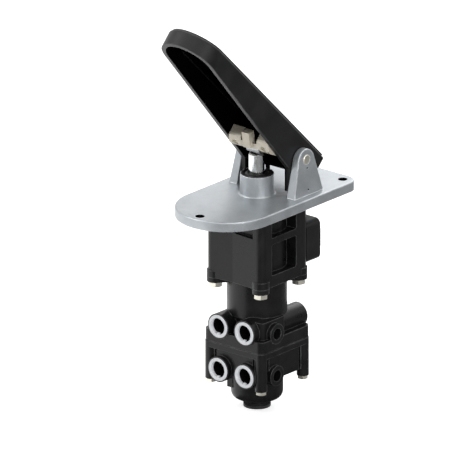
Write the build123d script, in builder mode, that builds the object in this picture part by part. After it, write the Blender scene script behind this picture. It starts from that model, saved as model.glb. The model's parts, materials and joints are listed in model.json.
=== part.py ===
from build123d import *
from math import cos, radians, sin, sqrt, tan
import os

# Truck foot brake valve, in millimetres, at rest with the treadle released.
# The origin is where the plunger's axis meets the plate's underside.
# +X points to the toe, +Y to the small side ports and +Z up.

# How far a cut runs past a surface, and how far a joined form runs into its neighbour
overlap = 1

# Mounting plate, collar and ears
plate_thickness = 10
plate_half_width = 52.2
plate_round_x = 46.9
plate_heel_x = -98.6
plate_corner_radius = 15
plate_edge_radius = 1.5
mount_hole_radius = 4.5
toe_hole_edge = 10.1
heel_hole_edge = 12.1
heel_hole_side_edge = 12.9
register_depth = 1
register_gap = 0.3
collar_base_radius = 19.4
collar_radius = 17.6
collar_top_radius = 17
collar_top_z = 31.7
collar_mouth_radius = 14
collar_mouth_depth = 6
ear_side_gap = 0.8
ear_thickness = 10.4
ear_draft_deg = 4
ear_top_radius = 12.5
ear_top_centre_z = 45
ear_toe_x = -7.6
ear_heel_x = -51.8
ear_edge_radius = 1.2
ear_dimple_radius = 0.9
ear_dimple_reach = 3.4
ear_dimple_low_z = 15.6
ear_dimple_high_z = 38

# Treadle pivot
pivot_x = -29
pivot_z = 47
pivot_radius = 5
pivot_gap = 0.05
pivot_end_proud = 0.7
pivot_end_inset = 2
pivot_bush_wall = 2
pivot_hub_wall = 4.5
pivot_hub_length = 8

# Treadle, measured along its slope and square to it from the pivot
treadle_slope_deg = 44.4
treadle_half_width = 31.8
treadle_toe_length = 219.8
treadle_heel_length = 33.5
treadle_top = 19.2
treadle_toe_depth = 17
treadle_heel_depth = 12.6
treadle_keel_along = -2
treadle_keel_depth = 37
treadle_keel_radius = 14
treadle_wall = 5
treadle_edge_radius = 2
cross_wall_along = 8.1
treadle_rib_depth = 6
treadle_rib_thickness = 3
treadle_rib_offset = 14
pad_inset = 2
pad_thickness = 1.6
pad_rib_height = 1.4
pad_rib_width = 4
pad_rib_pitch = 12
pad_rib_margin = 6
cheek_toe_reach = 15.5
cheek_heel_reach = 21
cheek_top = 5
cheek_thickness = 7
cheek_plate_gap = 1

# Pressure lever under the treadle
lever_side_gap = 1.1
lever_slot_half_width = 10.1
lever_seat = -1.3
lever_toe_along = 47.2
lever_keel_along = 40.8
lever_keel = -18.2
lever_arch_along = 20.4
lever_arch = -11.9
lever_tail = -9.5
lever_tail_along = 12
lever_slot_start = 15
lever_web_start = 39.5
lever_web_thickness = 3.6
lever_front_rise = 5.4
lever_front_lip = 2.8
lever_front_lean = 0.4
lever_keel_length = 6.6
lever_keel_rise = 1.3
roller_pin_inset = 0.5
lever_lug_half_width = 4.5
lever_lug_length = 8.5
lever_lug_height = 17
lever_lug_along = 47.4
lever_lug_middle = -11.9
lever_lug_turn_deg = 35.1
pedestal_start = 22
pedestal_end = 45
lever_screw_radius = 2.5
lever_screw_head_radius = 4.2
lever_screw_head_foot = -15.4
lever_screw_head_height = 3
lever_screw_along = 39.5
lever_screw_edge = 7.7
lever_screw_socket_radius = 2.5
lever_screw_reach = 9

# Roller on the plunger
roller_radius = 7
roller_half_width = 8.5
roller_x = 1
roller_pin_radius = 2.5
roller_gap = 0.3
roller_chamfer = 0.6

# Plunger and what guides it
plunger_radius = 8.5
plunger_top_z = 53.1
plunger_bevel = 1
plunger_foot_z = -14
slide_gap = 0.3
bush_wall = 2.2
guide_bush_foot_z = 2
boot_lip_radius = 16.6
boot_lip_height = 0.8
boot_scallops = 16
boot_scallop_radius = 1.4
boot_scallop_bite = 0.6
cup_radius = 22.5
cup_thickness = 4
cup_skirt = 8
cup_wall = 3

# Spacer housing
housing_bottom_z = -76
housing_bore_radius = 24.5
facet_y = -3
facet_depth = 2.2
column_offset = 29.5
column_radius = 7.4
housing_foot_radius = 8.8
housing_foot_height = 7
pocket_width = 25.2
pocket_height = 24.5
pocket_depth = 6
window_toe_x = 21
window_heel_x = -17
window_top_z = -31
window_bottom_z = -64
window_depth = 16
upper_window_bottom_z = -24
housing_tube_radius = 29.5
window_corner_radius = 2.5

# Switch housing on the spacer's heel side
switch_depth = 21.1
switch_half_width = 34
switch_top_z = -25
switch_bottom_z = -68
switch_corner_radius = 6
switch_mouth_depth = 12
cover_thickness = 4.2
cover_lip = 4
cover_side_edge = 2.5
cover_top_edge = 10
cover_corner_radius = 3
cover_edge_radius = 1.4
mouth_inset = 15
cover_screw_radius = 2
cover_screw_head_radius = 3.6
cover_screw_head_height = 1.6
cover_screw_inset = 12
cover_screw_top_inset = 15
cover_screw_socket_radius = 1.8
cover_screw_socket_depth = 1
cover_screw_reach = 8

# Upper valve body
arm_thickness = 5.3
arm_width = 15
tube_radius = 30.4
primary_bore_radius = 24
primary_floor_z = -113
seat_radius = 9.5
seat_thickness = 4
valve_chamber_radius = 17
tube_bottom_z = -114
neck_radius = 27
boss_root_x = 10
side_pad_toe_x = 32
side_pad_heel_x = -5
side_pad_face_y = 34
side_pad_depth = 19
side_pad_top_z = -113
side_pad_radius = 5
flange_half_width = 38.5
flange_thickness = 12
flange_corner_radius = 7
seam_z = -143
gasket_thickness = 0.8
gasket_inset = 0.4
upper_port_z = -124.4
rear_boss_y = 20
rear_boss_radius = 12.5
rear_boss_reach = 40

# Lower valve body
relay_bore_radius = 22
relay_floor_z = -157
lower_flange_thickness = 6
post_offset = 32.4
post_radius = 6.2
post_bottom_z = -184
lower_wall_inset = 3.5
lower_wall_bottom_z = -176
lower_wall_thickness = 4
wall_groove_offset = 24.6
wall_groove_width = 2.4
wall_groove_depth = 2.5
lug_toe_x = 24
lug_left_y = -19
lug_right_y = -12
lug_bottom_z = -193
lower_web_half_width = 8
barrel_radius = 26.2
barrel_bottom_z = -197
barrel_foot_z = -206
barrel_foot_radius = 17
lower_port_z = -170.2
exhaust_bore_radius = 15

# Ports
port_y = 17
port_face_x = 40.5
port_ring_radius = 12
port_ring_proud = 0.8
port_ring_edge = 0.8
port_radius = 8.5
port_ring_depth = 3
port_depth = 14
port_boss_radius = 13.2
port_drill_radius = 5
port_drill_foot_x = 8
side_port_x = 15
side_port_face_y = 39
side_port_boss_radius = 10.4
side_drill_foot_y = 8
side_port_radius = 6
side_port_depth = 12
side_drill_radius = 5.4
upper_side_port_z = -126.7
lower_side_port_z = -171.2

# Pistons and valves
piston_gap = 0.3
piston_ring_radius = 1.5
primary_piston_top_z = -79
primary_piston_height = 8
primary_stem_radius = 8
stem_bore_radius = 5
valve_gap = 0.3
exhaust_gap = 0.5
valve_disc_radius = 12.5
valve_disc_thickness = 4
valve_tube_radius = 7
valve_tube_bore_radius = 4.5
valve_tube_length = 15
guide_gap = 0.1
guide_height = 5
spring_wire = 1.2
valve_spring_radius = 10
valve_spring_height = 5
valve_spring_turns = 2.5
return_spring_radius = 18
return_spring_wire = 2.4
return_spring_turns = 4
relay_spring_radius = 14
relay_spring_turns = 2.5
rubber_spring_radius = 17
rubber_spring_waist = 13
rubber_spring_bore = 5
relay_piston_top_z = -145.5
relay_piston_height = 6

# Exhaust
exhaust_neck_radius = 12.7
exhaust_ring_radius = 13.8
exhaust_ring_top_z = -209
exhaust_bottom_z = -215
exhaust_groove_height = 0.9
exhaust_groove_depth = 0.9
exhaust_plug_height = 8
exhaust_mouth_radius = 9
flap_seat_radius = 11
flap_seat_depth = 2
flap_thickness = 1
flap_gap = 0.3

# Bolts
housing_bolt_radius = 4
housing_bolt_head_width = 13
housing_bolt_head_height = 5.7
housing_bolt_reach = 8
bolt_head_turn_deg = 40
bolt_head_chamfer = 0.9
body_bolt_radius = 3
body_bolt_head_width = 10
body_bolt_head_height = 4
body_bolt_reach = 9
bolt_hole_gap = 0.3
thread_gap = 0.05
seal_gap = 0.05

os.makedirs("parts", exist_ok=True)


def save(piece, name):
    piece.part.label = name
    export_step(piece.part, "parts/" + name + ".step")


def face_plane(z):
    return Plane.XY.offset(z)


def side_plane(y):
    return Plane.XZ.offset(-y)


# The treadle's own planes: one through its length, and one along its top face
slope = radians(treadle_slope_deg)
pivot_point = Vector(pivot_x, 0, pivot_z)
along_dir = Vector(cos(slope), 0, sin(slope))
up_dir = Vector(-sin(slope), 0, cos(slope))


def treadle_side(y):
    return Plane(origin=pivot_point + Vector(0, y, 0), x_dir=along_dir, z_dir=(0, -1, 0))


def treadle_level(height):
    return Plane(origin=pivot_point + up_dir * height, x_dir=along_dir, z_dir=up_dir)


bush_radius = plunger_radius + slide_gap + bush_wall
hub_bore_radius = pivot_radius + pivot_gap + pivot_bush_wall
corner_signs = [(1, 1), (1, -1), (-1, -1), (-1, 1)]
column_points = [(i * column_offset, j * column_offset) for i, j in corner_signs]
post_points = [(i * post_offset, j * post_offset) for i, j in corner_signs]
arm_bottom_z = housing_bottom_z - arm_thickness
flange_top_z = seam_z + flange_thickness
lower_top_z = seam_z - gasket_thickness
roller_z = plunger_top_z + roller_gap + roller_radius
lever_half_width = treadle_half_width - treadle_wall - lever_side_gap
lever_screw_y = lever_half_width - lever_screw_edge
roller_pin_half_length = lever_half_width - roller_pin_inset
ear_inner_y = treadle_half_width + ear_side_gap
ear_outer_y = ear_inner_y + ear_thickness
toe_hole_x = plate_round_x + plate_half_width - toe_hole_edge
heel_hole_x = plate_heel_x + heel_hole_edge
heel_hole_y = plate_half_width - heel_hole_side_edge
housing_half_width = column_offset + column_radius
lever_screw_points = [(lever_screw_along, lever_screw_y), (lever_screw_along, -lever_screw_y)]
switch_height = switch_top_z - switch_bottom_z
switch_mid_z = (switch_top_z + switch_bottom_z) / 2
switch_face_x = -housing_half_width - switch_depth
cover_screw_points = [
    (
        i * (switch_half_width - cover_screw_inset),
        switch_mid_z + j * (switch_height / 2 - cover_screw_top_inset),
    )
    for i, j in corner_signs
]

# Mounting plate with its collar and the two ears, cast as one
with BuildPart() as mounting_plate:
    with BuildSketch():
        with BuildLine():
            CenterArc((plate_round_x, 0), plate_half_width, -90, 180)
            Polyline(
                (plate_round_x, plate_half_width),
                (plate_heel_x, plate_half_width),
                (plate_heel_x, -plate_half_width),
                (plate_round_x, -plate_half_width),
            )
        make_face()
        fillet(vertices().group_by(Axis.X)[0], plate_corner_radius)
    extrude(amount=plate_thickness)
    fillet(edges().group_by(Axis.Z)[-1], plate_edge_radius)
    # Collar with a flared base and a lightly tapered wall
    with BuildSketch(Plane.XZ):
        with BuildLine():
            flare_height = collar_base_radius - collar_radius
            Polyline(
                (collar_radius, plate_thickness + flare_height),
                (collar_top_radius, collar_top_z),
                (0, collar_top_z),
                (0, plate_thickness),
                (collar_base_radius, plate_thickness),
            )
            RadiusArc(
                (collar_base_radius, plate_thickness),
                (collar_radius, plate_thickness + flare_height),
                flare_height,
            )
        make_face()
    revolve(axis=Axis.Z)
    # Ears, each with its outer face leaning in and that face's edges rounded
    ear_height = ear_top_centre_z + ear_top_radius - plate_thickness
    lean = ear_height * tan(radians(ear_draft_deg))
    for side in (1, -1):
        with BuildPart() as ear:
            with BuildSketch(side_plane(max(side * ear_inner_y, side * ear_outer_y))):
                with Locations((pivot_x, ear_top_centre_z)):
                    Circle(ear_top_radius)
                with Locations(((ear_toe_x + ear_heel_x) / 2, plate_thickness + overlap / 2)):
                    Rectangle(ear_toe_x - ear_heel_x, overlap)
                make_hull()
            extrude(amount=ear_thickness)
            with BuildSketch(Plane.YZ.offset(ear_heel_x)):
                with BuildLine():
                    Polyline(
                        (side * ear_outer_y, plate_thickness),
                        (side * (ear_outer_y - lean), plate_thickness + ear_height),
                        (side * (ear_outer_y + overlap), plate_thickness + ear_height),
                        (side * (ear_outer_y + overlap), plate_thickness),
                        close=True,
                    )
                make_face()
            extrude(amount=ear_toe_x - ear_heel_x, mode=Mode.SUBTRACT)
            outer_face = faces().sort_by(Axis((0, 0, 0), (0, side, 0)))[-1]
            fillet(outer_face.edges().sort_by(Axis.Z)[1:], ear_edge_radius)
        add(ear.part)
        # Two small marks in the outer face
        with BuildSketch(side_plane(max(side * ear_outer_y, side * (ear_outer_y - ear_dimple_reach)))):
            with Locations((pivot_x, ear_dimple_low_z), (pivot_x, ear_dimple_high_z)):
                Circle(ear_dimple_radius)
        extrude(amount=ear_dimple_reach, mode=Mode.SUBTRACT)
    # Pivot holes
    with BuildSketch(side_plane(ear_outer_y)):
        with Locations((pivot_x, pivot_z)):
            Circle(pivot_radius + seal_gap)
    extrude(amount=2 * ear_outer_y, mode=Mode.SUBTRACT)
    # Bore for the bush, and the mouth for the boot
    with Locations((0, 0, collar_top_z)):
        CounterBoreHole(bush_radius, collar_mouth_radius, collar_mouth_depth)
    # Mounting holes
    with Locations((toe_hole_x, 0, plate_thickness), (heel_hole_x, heel_hole_y, plate_thickness)):
        Hole(mount_hole_radius, depth=plate_thickness)
    with Locations((heel_hole_x, -heel_hole_y, plate_thickness)):
        Hole(mount_hole_radius, depth=plate_thickness)
    # Register recess that locates the spacer housing
    with BuildSketch(face_plane(0)):
        RectangleRounded(
            2 * (housing_half_width + register_gap),
            2 * (housing_half_width + register_gap),
            column_radius + register_gap,
        )
    extrude(amount=register_depth, mode=Mode.SUBTRACT)
    # Blind threaded holes for the long bolts
    with BuildSketch(face_plane(0)):
        with Locations(*column_points):
            Circle(housing_bolt_radius + thread_gap)
    extrude(amount=housing_bolt_reach + thread_gap, mode=Mode.SUBTRACT)
save(mounting_plate, "mounting_plate")

# Pivot pin, through both ears and the treadle's hubs
pin_half_length = ear_outer_y - pivot_end_inset
with BuildPart() as pivot_pin:
    with BuildSketch(side_plane(pin_half_length)):
        with Locations((pivot_x, pivot_z)):
            Circle(pivot_radius)
    extrude(amount=2 * pin_half_length)
    chamfer(edges().filter_by(GeomType.CIRCLE), pivot_end_proud)
save(pivot_pin, "pivot_pin")


# Outline of the treadle seen square to its top face
def treadle_outline(half_width, toe, heel):
    with BuildSketch() as outline:
        with BuildLine():
            CenterArc((toe - half_width, 0), half_width, -90, 180)
            Polyline(
                (toe - half_width, half_width),
                (heel, half_width),
                (heel, -half_width),
                (toe - half_width, -half_width),
            )
        make_face()
    return outline.sketch


treadle_rim_toe = treadle_top - treadle_toe_depth
with BuildPart() as treadle_hollow:
    with BuildSketch(treadle_level(-treadle_keel_depth)):
        add(
            treadle_outline(
                treadle_half_width - treadle_wall,
                treadle_toe_length - treadle_wall,
                cross_wall_along,
            )
        )
    extrude(amount=treadle_keel_depth + treadle_top - treadle_wall)

with BuildPart() as treadle:
    with BuildSketch(treadle_side(treadle_half_width)):
        with BuildLine():
            Polyline(
                (-treadle_heel_length, treadle_top),
                (-treadle_heel_length, treadle_top - treadle_heel_depth),
                (treadle_keel_along, treadle_top - treadle_keel_depth),
                (treadle_toe_length, treadle_rim_toe),
                (treadle_toe_length, treadle_top),
                close=True,
            )
        make_face()
        fillet(vertices().sort_by(Axis.Y)[0], treadle_keel_radius)
    extrude(amount=2 * treadle_half_width)
    with BuildSketch(treadle_level(-treadle_keel_depth)):
        add(treadle_outline(treadle_half_width, treadle_toe_length, -treadle_heel_length))
    extrude(amount=2 * treadle_keel_depth, mode=Mode.INTERSECT)
    top_face = faces().filter_by(GeomType.PLANE).sort_by(Axis(pivot_point, up_dir))[-1]
    fillet(top_face.edges(), treadle_edge_radius)
    add(treadle_hollow.part, mode=Mode.SUBTRACT)
    # Heel pocket behind the cross wall
    with BuildSketch(treadle_level(-treadle_keel_depth)):
        pocket_start = treadle_wall - treadle_heel_length
        pocket_end = cross_wall_along - treadle_wall
        with Locations(((pocket_start + pocket_end) / 2, 0)):
            Rectangle(pocket_end - pocket_start, 2 * (treadle_half_width - treadle_wall))
    extrude(amount=treadle_keel_depth + treadle_top - treadle_wall, mode=Mode.SUBTRACT)
    # Hubs for the pivot bushes, on the inside of both skirts
    for side in (1, -1):
        hub_high_y = max(
            side * (treadle_half_width - treadle_wall),
            side * (treadle_half_width - treadle_wall - pivot_hub_length),
        )
        with BuildSketch(treadle_side(hub_high_y)):
            Circle(hub_bore_radius + pivot_hub_wall)
        extrude(amount=pivot_hub_length)
    # Cheeks that reach down between the ears, nearly to the plate
    cheek_radius = pivot_z - plate_thickness - cheek_plate_gap
    cheek_height = cheek_radius - cheek_top
    cheek_mid_z = pivot_z - cheek_top - cheek_height / 2
    for side in (1, -1):
        cheek_inner_y = treadle_half_width - cheek_thickness
        with BuildSketch(side_plane(max(side * treadle_half_width, side * cheek_inner_y))):
            with Locations((pivot_x, pivot_z)):
                Circle(cheek_radius)
            with Locations((pivot_x + cheek_toe_reach / 2, cheek_mid_z)):
                Rectangle(cheek_toe_reach, cheek_height, mode=Mode.INTERSECT)
            with Locations((pivot_x - cheek_heel_reach / 2, cheek_mid_z)):
                Rectangle(cheek_heel_reach, cheek_height)
        extrude(amount=cheek_thickness)
    with BuildSketch(treadle_side(treadle_half_width)):
        Circle(hub_bore_radius + seal_gap)
    extrude(amount=2 * treadle_half_width, mode=Mode.SUBTRACT)
    # Pedestal that carries the lever
    with BuildSketch(treadle_level(lever_seat)):
        with Locations(((pedestal_start + pedestal_end) / 2, 0)):
            Rectangle(pedestal_end - pedestal_start, 2 * (treadle_half_width - treadle_wall))
    extrude(amount=treadle_top - treadle_wall - lever_seat)
    with BuildSketch(treadle_level(lever_seat)):
        with Locations(*lever_screw_points):
            Circle(lever_screw_radius + thread_gap)
    extrude(amount=lever_screw_reach + thread_gap, mode=Mode.SUBTRACT)
    # Two stiffening ribs along the tray's roof
    rib_toe = treadle_toe_length - treadle_half_width
    with BuildSketch(treadle_level(treadle_top - treadle_wall - treadle_rib_depth)):
        with Locations(
            ((pedestal_end + rib_toe) / 2, treadle_rib_offset),
            ((pedestal_end + rib_toe) / 2, -treadle_rib_offset),
        ):
            Rectangle(rib_toe - pedestal_end, treadle_rib_thickness)
    extrude(amount=treadle_rib_depth)
save(treadle, "treadle")

# Rubber tread pad with cross ribs
with BuildPart() as tread_pad:
    with BuildSketch(treadle_level(treadle_top)):
        add(
            treadle_outline(
                treadle_half_width - pad_inset,
                treadle_toe_length - pad_inset,
                pad_inset - treadle_heel_length,
            )
        )
    extrude(amount=pad_thickness)
    rib_start = pad_inset - treadle_heel_length + pad_rib_pitch
    rib_count = int((treadle_toe_length - treadle_half_width - rib_start) / pad_rib_pitch)
    with BuildSketch(treadle_level(treadle_top + pad_thickness)):
        with Locations(*[(rib_start + n * pad_rib_pitch, 0) for n in range(rib_count)]):
            Rectangle(pad_rib_width, 2 * (treadle_half_width - pad_inset - pad_rib_margin))
    extrude(amount=pad_rib_height)
save(tread_pad, "tread_pad")

# Pivot bushes, pressed into the treadle's hubs
with BuildPart() as pivot_bushes:
    for side in (1, -1):
        bush_length = treadle_wall + pivot_hub_length
        bush_high_y = max(
            side * treadle_half_width,
            side * (treadle_half_width - bush_length),
        )
        with BuildSketch(side_plane(bush_high_y)):
            with Locations((pivot_x, pivot_z)):
                Circle(hub_bore_radius)
                Circle(pivot_radius + pivot_gap, mode=Mode.SUBTRACT)
        extrude(amount=bush_length)
save(pivot_bushes, "pivot_bushes")

# Pressure lever: two cheeks, a web along the front's foot, a bridge behind and a lug between
lever_front_foot = lever_keel + lever_front_rise
lever_front_top = lever_front_foot + lever_front_lip
with BuildPart() as pressure_lever:
    with BuildSketch(treadle_side(lever_half_width)):
        with BuildLine():
            Polyline(
                (lever_tail_along, lever_seat),
                (lever_toe_along, lever_seat),
                (lever_toe_along, lever_front_top),
                (lever_toe_along - lever_front_lean, lever_front_foot),
                (lever_keel_along, lever_keel),
                (lever_keel_along - lever_keel_length, lever_keel + lever_keel_rise),
                (lever_arch_along, lever_arch),
                (lever_tail_along, lever_tail),
                close=True,
            )
        make_face()
    extrude(amount=2 * lever_half_width)
    # Slot between the cheeks, open above the web and below the roller
    with BuildSketch(treadle_side(lever_slot_half_width)):
        with BuildLine():
            web_top = lever_keel + lever_web_thickness
            Polyline(
                (lever_slot_start, lever_seat + overlap),
                (lever_toe_along + overlap, lever_seat + overlap),
                (lever_toe_along + overlap, web_top),
                (lever_web_start, web_top),
                (lever_web_start, lever_keel - overlap),
                (lever_slot_start, lever_keel - overlap),
                close=True,
            )
        make_face()
    extrude(amount=2 * lever_slot_half_width, mode=Mode.SUBTRACT)
    # Cast lug on the web
    with BuildSketch(treadle_side(lever_lug_half_width)):
        with Locations((lever_lug_along, lever_lug_middle)):
            Rectangle(lever_lug_height, lever_lug_length, rotation=lever_lug_turn_deg)
    extrude(amount=2 * lever_lug_half_width)
    # Holes for the roller pin and for the screws
    with BuildSketch(side_plane(lever_half_width)):
        with Locations((roller_x, roller_z)):
            Circle(roller_pin_radius + seal_gap)
    extrude(amount=2 * lever_half_width, mode=Mode.SUBTRACT)
    with BuildSketch(treadle_level(lever_seat)):
        with Locations(*lever_screw_points):
            Circle(lever_screw_radius + bolt_hole_gap)
    extrude(amount=lever_keel - lever_seat, mode=Mode.SUBTRACT)
    with BuildSketch(treadle_level(lever_screw_head_foot + lever_screw_head_height)):
        with Locations(*lever_screw_points):
            Circle(lever_screw_head_radius + bolt_hole_gap)
    extrude(amount=lever_keel - lever_seat, mode=Mode.SUBTRACT)
save(pressure_lever, "pressure_lever")

# Screws that hold the lever to the pedestal, from below
with BuildPart() as lever_screws:
    with BuildSketch(treadle_level(lever_screw_head_foot)):
        with Locations(*lever_screw_points):
            Circle(lever_screw_head_radius)
    extrude(amount=lever_screw_head_height)
    with BuildSketch(treadle_level(lever_screw_head_foot)):
        with Locations(*lever_screw_points):
            RegularPolygon(lever_screw_socket_radius, 6)
    extrude(amount=lever_screw_head_height / 2, mode=Mode.SUBTRACT)
    with BuildSketch(treadle_level(lever_screw_head_foot + lever_screw_head_height)):
        with Locations(*lever_screw_points):
            Circle(lever_screw_radius)
    extrude(amount=lever_seat + lever_screw_reach - lever_screw_head_foot - lever_screw_head_height)
save(lever_screws, "lever_screws")

# Roller and its pin
with BuildPart() as roller:
    with BuildSketch(side_plane(roller_half_width)):
        with Locations((roller_x, roller_z)):
            Circle(roller_radius)
            Circle(roller_pin_radius + pivot_gap, mode=Mode.SUBTRACT)
    extrude(amount=2 * roller_half_width)
    chamfer(edges().filter_by(GeomType.CIRCLE), roller_chamfer)
save(roller, "roller")

with BuildPart() as roller_pin:
    with BuildSketch(side_plane(roller_pin_half_length)):
        with Locations((roller_x, roller_z)):
            Circle(roller_pin_radius)
    extrude(amount=2 * roller_pin_half_length)
save(roller_pin, "roller_pin")

# Plunger: a bright rod with a bevelled top
with BuildPart() as plunger:
    Cylinder(
        plunger_radius,
        plunger_top_z - plunger_foot_z,
        align=(Align.CENTER, Align.CENTER, Align.MIN),
    )
    chamfer(edges().group_by(Axis.Z)[-1], plunger_bevel)
plunger.part.locate(Location((0, 0, plunger_foot_z)))
save(plunger, "plunger")

# Spring cup under the plunger's foot
with BuildPart() as spring_cup:
    with BuildSketch(Plane.XZ):
        with BuildLine():
            Polyline(
                (0, plunger_foot_z),
                (cup_radius, plunger_foot_z),
                (cup_radius, plunger_foot_z - cup_thickness - cup_skirt),
                (cup_radius - cup_wall, plunger_foot_z - cup_thickness - cup_skirt),
                (cup_radius - cup_wall, plunger_foot_z - cup_thickness),
                (0, plunger_foot_z - cup_thickness),
                close=True,
            )
        make_face()
    revolve(axis=Axis.Z)
save(spring_cup, "spring_cup")

# Guide bush in the collar
with BuildPart() as guide_bush:
    with BuildSketch(face_plane(guide_bush_foot_z)):
        Circle(bush_radius - seal_gap)
        Circle(plunger_radius + slide_gap, mode=Mode.SUBTRACT)
    extrude(amount=collar_top_z - collar_mouth_depth - guide_bush_foot_z)
save(guide_bush, "guide_bush")

# Rubber boot in the collar's mouth, with a scalloped lip
with BuildPart() as plunger_boot:
    with BuildSketch(face_plane(collar_top_z - collar_mouth_depth)):
        Circle(collar_mouth_radius)
    extrude(amount=collar_mouth_depth)
    with BuildSketch(face_plane(collar_top_z)):
        Circle(boot_lip_radius)
        with PolarLocations(boot_lip_radius + boot_scallop_radius - boot_scallop_bite, boot_scallops):
            Circle(boot_scallop_radius, mode=Mode.SUBTRACT)
    extrude(amount=boot_lip_height)
    with Locations((0, 0, collar_top_z + boot_lip_height)):
        Hole(plunger_radius + slide_gap, depth=collar_mouth_depth + boot_lip_height)
save(plunger_boot, "plunger_boot")

window_width = window_toe_x - window_heel_x
window_mid_x = (window_toe_x + window_heel_x) / 2
with BuildPart() as window_cuts:
    for side in (1, -1):
        window_outer_y = housing_half_width + 1
        window_inner_y = housing_half_width - window_depth
        with BuildSketch(side_plane(max(side * window_outer_y, side * window_inner_y))):
            with Locations((window_mid_x, (window_top_z + window_bottom_z) / 2)):
                RectangleRounded(window_width, window_top_z - window_bottom_z, window_corner_radius)
            with Locations((window_mid_x, (register_depth + overlap + upper_window_bottom_z) / 2)):
                Rectangle(window_width, register_depth + overlap - upper_window_bottom_z)
        extrude(amount=window_depth + overlap)
    with BuildSketch(face_plane(housing_bottom_z)):
        Circle(housing_tube_radius)
    extrude(amount=register_depth + overlap - housing_bottom_z, mode=Mode.SUBTRACT)

# Spacer housing: a square casting with a column at each corner, two slanted facets, a pocket and windows
with BuildPart() as spacer_housing:
    with BuildSketch(face_plane(housing_bottom_z)):
        RectangleRounded(2 * housing_half_width, 2 * housing_half_width, column_radius)
    extrude(amount=register_depth - housing_bottom_z)
    with BuildSketch(face_plane(housing_bottom_z)):
        with BuildLine():
            Polyline(
                (housing_half_width, column_offset),
                (housing_half_width - facet_depth, facet_y),
                (housing_half_width, -column_offset),
                close=True,
            )
        make_face()
    extrude(amount=register_depth - housing_bottom_z, mode=Mode.SUBTRACT)
    # Wider foot under each column
    with BuildSketch(face_plane(housing_bottom_z)):
        with Locations(*column_points):
            Circle(housing_foot_radius)
    extrude(amount=housing_foot_height)
    # Pocket at the top of the toe side
    with BuildSketch(Plane.YZ.offset(housing_half_width + overlap)):
        with Locations((pocket_width / 2, register_depth - pocket_height / 2)):
            Rectangle(pocket_width, pocket_height)
    extrude(amount=-pocket_depth - overlap, mode=Mode.SUBTRACT)
    # Windows in both sides, cut back to the round tube inside
    add(window_cuts.part, mode=Mode.SUBTRACT)
    # Bore for the spring cup and the graduating spring
    with Locations((0, 0, register_depth)):
        Hole(housing_bore_radius, depth=register_depth - housing_bottom_z)
    # Bolt holes
    with BuildSketch(face_plane(housing_bottom_z)):
        with Locations(*column_points):
            Circle(housing_bolt_radius + bolt_hole_gap)
    extrude(amount=register_depth - housing_bottom_z, mode=Mode.SUBTRACT)
save(spacer_housing, "spacer_housing")

# Switch housing, an open box closed by its cover
with BuildPart() as switch_housing:
    with BuildSketch(Plane.YZ.offset(switch_face_x)):
        with Locations((0, switch_mid_z)):
            RectangleRounded(2 * switch_half_width, switch_height, switch_corner_radius)
    extrude(amount=switch_depth)
    with BuildSketch(Plane.YZ.offset(switch_face_x)):
        with Locations((0, switch_mid_z)):
            Rectangle(2 * (switch_half_width - mouth_inset), switch_height - 2 * mouth_inset)
    extrude(amount=switch_mouth_depth, mode=Mode.SUBTRACT)
    with BuildSketch(Plane.YZ.offset(switch_face_x)):
        with Locations(*cover_screw_points):
            Circle(cover_screw_radius + thread_gap)
    extrude(amount=cover_screw_reach, mode=Mode.SUBTRACT)
save(switch_housing, "switch_housing")

with BuildPart() as switch_cover:
    with BuildSketch(Plane.YZ.offset(switch_face_x)):
        with Locations((0, switch_mid_z)):
            RectangleRounded(
                2 * (switch_half_width - cover_side_edge),
                switch_height - 2 * cover_top_edge,
                cover_corner_radius,
            )
    extrude(amount=-cover_thickness)
    fillet(edges().group_by(Axis.X)[0], cover_edge_radius)
    with BuildSketch(Plane.YZ.offset(switch_face_x)):
        with Locations((0, switch_mid_z)):
            Rectangle(
                2 * (switch_half_width - mouth_inset - register_gap),
                switch_height - 2 * (mouth_inset + register_gap),
            )
    extrude(amount=cover_lip)
    with BuildSketch(Plane.YZ.offset(switch_face_x)):
        with Locations(*cover_screw_points):
            Circle(cover_screw_radius + bolt_hole_gap)
    extrude(amount=-cover_thickness, mode=Mode.SUBTRACT)
save(switch_cover, "switch_cover")

with BuildPart() as cover_screws:
    with BuildSketch(Plane.YZ.offset(switch_face_x + cover_screw_reach)):
        with Locations(*cover_screw_points):
            Circle(cover_screw_radius)
    extrude(amount=-cover_screw_reach - cover_thickness)
    with BuildSketch(Plane.YZ.offset(switch_face_x - cover_thickness)):
        with Locations(*cover_screw_points):
            Circle(cover_screw_head_radius)
    extrude(amount=-cover_screw_head_height)
    with BuildSketch(Plane.YZ.offset(switch_face_x - cover_thickness - cover_screw_head_height)):
        with Locations(*cover_screw_points):
            RegularPolygon(cover_screw_socket_radius, 6)
    extrude(amount=cover_screw_socket_depth, mode=Mode.SUBTRACT)
save(cover_screws, "cover_screws")


# Ports on the toe side of a valve body, each a boss, a seat for its ring and a drilled bore
def toe_ports(port_z):
    with BuildPart() as bosses:
        with BuildSketch(Plane.YZ.offset(boss_root_x)):
            with Locations((port_y, port_z), (-port_y, port_z)):
                Circle(port_boss_radius)
        extrude(amount=port_face_x - boss_root_x)
    with BuildPart() as bores:
        for radius, depth in (
            (port_ring_radius + seal_gap, port_ring_depth),
            (port_radius, port_depth),
            (port_drill_radius, port_face_x - port_drill_foot_x),
        ):
            with BuildSketch(Plane.YZ.offset(port_face_x)):
                with Locations((port_y, port_z), (-port_y, port_z)):
                    Circle(radius)
            extrude(amount=-depth)
    return bosses.part, bores.part


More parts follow.
